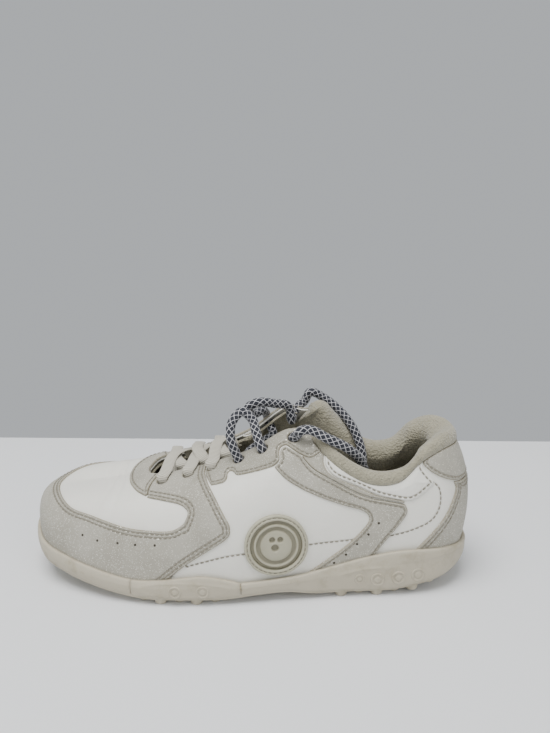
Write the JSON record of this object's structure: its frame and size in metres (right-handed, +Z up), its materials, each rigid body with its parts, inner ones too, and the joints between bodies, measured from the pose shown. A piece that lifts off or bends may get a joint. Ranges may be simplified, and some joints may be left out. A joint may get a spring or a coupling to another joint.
{
  "type": "bowling shoe",
  "caption": "Left low-cut lace-up shoe for bowling lanes: layered leather upper, padded fleece collar, round side badge, flat and rope laces, studded rubber sole",
  "frame": {"origin": "middle of the bounding box on the ground under the studs", "axes": "+X towards the heel, -X towards the toe, -Y the outer (lateral) side, +Z up"},
  "size_m": [0.2808, 0.1042, 0.1102],
  "materials": {
    "rubber": "matte",
    "foam": "matte",
    "steel": "satin",
    "board": "matte",
    "fleece": "matte",
    "white_leather": "satin",
    "pearl_suede": "matte",
    "grey_leather": "satin",
    "badge_rubber": "matte",
    "cotton": "matte",
    "rope": "matte",
    "aglet_plastic": "gloss"
  },
  "bodies": {
    "root": {"outsole": "rubber", "sidewall_rear": "rubber", "sidewall_lateral": "rubber", "sidewall_medial": "rubber", "toe_bumper": "rubber", "midsole_core": "foam", "collar_foam": "foam", "shank": "steel", "insole_board": "board", "heel_counter": "board", "toe_puff": "board", "footbed": "fleece", "vamp_lining": "fleece", "quarter_lining": "fleece", "collar_lining": "fleece", "vamp": "white_leather", "quarter_lateral": "white_leather", "quarter_medial": "white_leather", "collar_panel_lateral": "white_leather", "collar_panel_medial": "white_leather", "mudguard": "pearl_suede", "apron": "pearl_suede", "heel_overlay": "pearl_suede", "heel_tab": "pearl_suede", "stripe_lateral": "pearl_suede", "stripe_medial": "pearl_suede", "chevron_lateral": "pearl_suede", "chevron_medial": "pearl_suede", "eyestay_lateral": "grey_leather", "eyestay_medial": "grey_leather", "badge_ring_lateral": "badge_rubber", "badge_disc_lateral": "badge_rubber", "badge_ring_medial": "badge_rubber", "badge_disc_medial": "badge_rubber", "flat_lace": "cotton", "rope_lace": "rope", "rope_tail_lateral": "rope", "rope_tail_medial": "rope", "aglet_lateral": "aglet_plastic", "aglet_medial": "aglet_plastic"},
    "tongue": {"tongue_face": "grey_leather", "tongue_lining": "fleece"}
  },
  "joints": [
    {"name": "tongue_swing", "type": "hinge", "parent": "root", "child": "tongue", "pos_m": [-0.05404, 0.00729, 0.053], "axis": [0, 1, 0], "range_deg": [0, 12], "stiffness_Nm_per_rad": 0.12, "springref_deg": -1.15}
  ]
}
